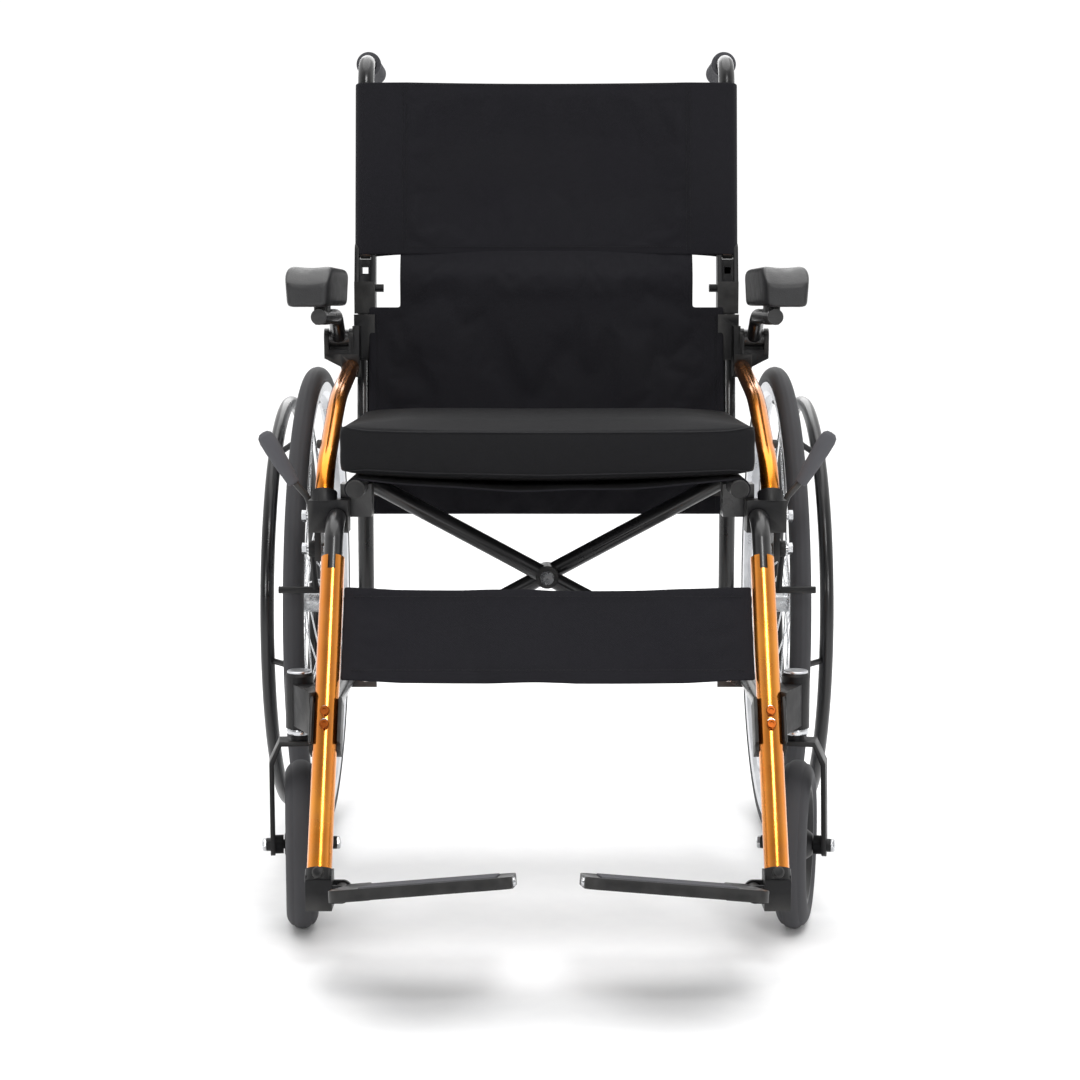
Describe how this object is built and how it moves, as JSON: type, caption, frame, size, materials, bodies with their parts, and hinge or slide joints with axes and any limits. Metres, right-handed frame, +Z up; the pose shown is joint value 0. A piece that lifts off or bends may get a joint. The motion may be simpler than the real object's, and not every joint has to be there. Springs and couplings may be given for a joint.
{
  "type": "manual wheelchair",
  "caption": "Folding self-propelled wheelchair with hand rims, flip-back armrests, half-folding back, scissor frame, swivel casters and flip-up footplates.",
  "frame": {"origin": "on the floor, midway between the two side frames and midway between the footplates' front edges and the rearmost points of the chair", "axes": "+X towards the sitter's left, -Y towards the front of the chair, +Z up"},
  "size_m": [0.658, 1.0326, 0.99],
  "materials": {
    "black_tube": "gloss black paint",
    "orange_tube": "polished orange anodising",
    "black_bracket": "satin black",
    "steel": "plated and brushed",
    "rim_metal": "satin",
    "tyre_rubber": "matte",
    "grip_rubber": "ribbed, matte",
    "pad_foam": "moulded foam skin",
    "caster_plastic": "satin",
    "hand_rim_coat": "gloss black coating",
    "nylon": "woven, slight sheen"
  },
  "bodies": {
    "left_frame": {"left_rear_upright": "black_tube", "left_upper_rail": "black_tube", "left_lower_rail": "black_tube", "left_arch_tube": "orange_tube", "left_leg_tube": "orange_tube", "left_brake_mount": "black_bracket", "left_caster_housing": "black_bracket", "left_back_hinge": "black_bracket", "left_arm_bracket": "black_bracket", "left_frame_bolts": "steel", "left_footplate_bracket": "black_bracket", "left_wheel_axle": "steel", "back_lower_panel": "nylon", "calf_panel": "nylon"},
    "right_frame": {"right_rear_upright": "black_tube", "right_upper_rail": "black_tube", "right_lower_rail": "black_tube", "right_arch_tube": "orange_tube", "right_leg_tube": "orange_tube", "right_brake_mount": "black_bracket", "right_caster_housing": "black_bracket", "right_back_hinge": "black_bracket", "right_arm_bracket": "black_bracket", "right_frame_bolts": "steel", "right_footplate_bracket": "black_bracket", "right_wheel_axle": "steel"},
    "cross_b": {"cross_brace_b": "black_tube", "cross_bolt": "steel"},
    "cross_a": {"cross_brace_a": "black_tube"},
    "seat": {"seat_sling": "nylon", "seat_cushion": "nylon"},
    "left_back": {"left_back_cane": "black_tube", "left_push_grip": "grip_rubber", "back_upper_panel": "nylon"},
    "left_armrest": {"left_armrest_frame": "black_tube", "left_armrest_pad": "pad_foam"},
    "left_brake_lever": {"left_brake_lever": "black_bracket"},
    "left_brake_shoe": {"left_brake_shoe": "black_bracket"},
    "left_footplate": {"left_footplate": "black_bracket"},
    "left_caster": {"left_caster_fork": "black_tube"},
    "left_caster_wheel": {"left_caster_hub": "caster_plastic", "left_caster_tyre": "tyre_rubber"},
    "left_wheel": {"left_wheel_hub": "steel", "left_wheel_rim": "rim_metal", "left_wheel_tyre": "tyre_rubber", "left_hand_rim": "hand_rim_coat"},
    "right_back": {"right_back_cane": "black_tube", "right_push_grip": "grip_rubber"},
    "right_armrest": {"right_armrest_frame": "black_tube", "right_armrest_pad": "pad_foam"},
    "right_brake_lever": {"right_brake_lever": "black_bracket"},
    "right_brake_shoe": {"right_brake_shoe": "black_bracket"},
    "right_footplate": {"right_footplate": "black_bracket"},
    "right_caster": {"right_caster_fork": "black_tube"},
    "right_caster_wheel": {"right_caster_hub": "caster_plastic", "right_caster_tyre": "tyre_rubber"},
    "right_wheel": {"right_wheel_hub": "steel", "right_wheel_rim": "rim_metal", "right_wheel_tyre": "tyre_rubber", "right_hand_rim": "hand_rim_coat"}
  },
  "joints": [
    {"name": "fold", "type": "hinge", "parent": "left_frame", "child": "cross_b", "pos_m": [0.206, -0.025, 0.248], "axis": [0, 1, 0], "range_deg": [0, 45], "deforming": ["seat_sling", "seat_cushion", "back_upper_panel", "back_lower_panel", "calf_panel"]},
    {"name": "cross_pivot", "type": "hinge", "parent": "cross_b", "child": "cross_a", "pos_m": [0, -0.025, 0.359], "axis": [0, 1, 0], "range_deg": [-90, 0]},
    {"name": "right_pivot", "type": "hinge", "parent": "cross_a", "child": "right_frame", "pos_m": [-0.206, -0.025, 0.248], "axis": [0, 1, 0], "range_deg": [0, 45]},
    {"name": "seat_level", "type": "hinge", "parent": "cross_b", "child": "seat", "pos_m": [0, -0.025, 0.359], "axis": [0, 1, 0], "range_deg": [-45, 0]},
    {"name": "back_fold", "type": "hinge", "parent": "left_frame", "child": "left_back", "pos_m": [0.228, 0.25756, 0.733], "axis": [-1, 0, 0], "range_deg": [0, 95]},
    {"name": "right_back_fold", "type": "hinge", "parent": "right_frame", "child": "right_back", "pos_m": [-0.228, 0.25756, 0.733], "axis": [-1, 0, 0], "range_deg": [0, 95]},
    {"name": "left_armrest_flip", "type": "hinge", "parent": "left_frame", "child": "left_armrest", "pos_m": [0.257, 0.202, 0.627], "axis": [-1, 0, 0], "range_deg": [0, 90]},
    {"name": "left_brake_lever_turn", "type": "hinge", "parent": "left_frame", "child": "left_brake_lever", "pos_m": [0.256, -0.114, 0.436], "axis": [1, 0, 0], "range_deg": [0, 50]},
    {"name": "left_brake_shoe_turn", "type": "hinge", "parent": "left_frame", "child": "left_brake_shoe", "pos_m": [0.256, -0.114, 0.4], "axis": [1, 0, 0], "range_deg": [0, 17]},
    {"name": "left_footplate_flip", "type": "hinge", "parent": "left_frame", "child": "left_footplate", "pos_m": [0.205, -0.36712, 0.086], "axis": [0, 1, 0], "range_deg": [0, 84]},
    {"name": "left_caster_swivel", "type": "hinge", "parent": "left_frame", "child": "left_caster", "pos_m": [0.261, -0.228, 0.2], "axis": [0, 0, 1], "continuous": true},
    {"name": "left_caster_roll", "type": "hinge", "parent": "left_caster", "child": "left_caster_wheel", "pos_m": [0.26744, -0.19768, 0.09], "axis": [0.9781, -0.2079, 0], "continuous": true},
    {"name": "left_wheel_roll", "type": "hinge", "parent": "left_frame", "child": "left_wheel", "pos_m": [0.287, 0.222, 0.295], "axis": [1, 0, 0], "continuous": true},
    {"name": "right_armrest_flip", "type": "hinge", "parent": "right_frame", "child": "right_armrest", "pos_m": [-0.257, 0.202, 0.627], "axis": [-1, 0, 0], "range_deg": [0, 90]},
    {"name": "right_brake_lever_turn", "type": "hinge", "parent": "right_frame", "child": "right_brake_lever", "pos_m": [-0.256, -0.114, 0.436], "axis": [1, 0, 0], "range_deg": [0, 50]},
    {"name": "right_brake_shoe_turn", "type": "hinge", "parent": "right_frame", "child": "right_brake_shoe", "pos_m": [-0.256, -0.114, 0.4], "axis": [1, 0, 0], "range_deg": [0, 17]},
    {"name": "right_footplate_flip", "type": "hinge", "parent": "right_frame", "child": "right_footplate", "pos_m": [-0.205, -0.36712, 0.086], "axis": [0, -1, 0], "range_deg": [0, 84]},
    {"name": "right_caster_swivel", "type": "hinge", "parent": "right_frame", "child": "right_caster", "pos_m": [-0.261, -0.228, 0.2], "axis": [0, 0, 1], "continuous": true},
    {"name": "right_caster_roll", "type": "hinge", "parent": "right_caster", "child": "right_caster_wheel", "pos_m": [-0.26478, -0.19723, 0.09], "axis": [0.9925, 0.1219, 0], "continuous": true},
    {"name": "right_wheel_roll", "type": "hinge", "parent": "right_frame", "child": "right_wheel", "pos_m": [-0.287, 0.222, 0.295], "axis": [1, 0, 0], "continuous": true}
  ],
  "couplings": [
    {"joint": "cross_pivot", "follows": "fold", "ratio": -2},
    {"joint": "right_pivot", "follows": "fold", "ratio": 1},
    {"joint": "seat_level", "follows": "fold", "ratio": -1},
    {"joint": "right_back_fold", "follows": "back_fold", "ratio": 1},
    {"joint": "left_brake_shoe_turn", "follows": "left_brake_lever_turn", "ratio": 0.34},
    {"joint": "left_footplate_flip", "follows": "fold", "ratio": 1.82},
    {"joint": "right_brake_shoe_turn", "follows": "right_brake_lever_turn", "ratio": 0.34},
    {"joint": "right_footplate_flip", "follows": "fold", "ratio": 1.82}
  ]
}
